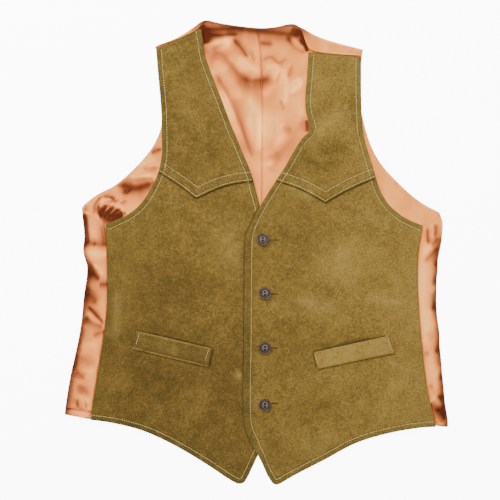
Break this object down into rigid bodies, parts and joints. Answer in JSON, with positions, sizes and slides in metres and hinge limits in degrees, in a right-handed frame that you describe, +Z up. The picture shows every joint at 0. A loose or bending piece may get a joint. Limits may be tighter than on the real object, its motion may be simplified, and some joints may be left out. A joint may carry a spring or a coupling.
{
  "type": "western vest laid flat",
  "caption": "Buttoned suede vest with pointed yokes, welt pockets and a satin back, laid flat on its back.",
  "frame": {"origin": "centre of the vest's outline, on the surface that it lies on", "axes": "+Y towards the neck, +X towards the wearer's left, +Z up out of the front"},
  "size_m": [0.522, 0.631, 0.0122],
  "materials": {
    "suede": "napped suede",
    "satin": "satin weave",
    "lining": "satin weave",
    "button": "semi-gloss",
    "thread": "twisted thread"
  },
  "bodies": {
    "root": {"back": "satin", "lining_right": "lining", "lining_left": "lining", "front_right": "suede", "front_left": "suede", "yoke_right": "suede", "yoke_left": "suede", "welt_right": "suede", "welt_left": "suede", "button_1": "button", "button_2": "button", "button_3": "button", "button_4": "button"}
  },
  "joints": []
}
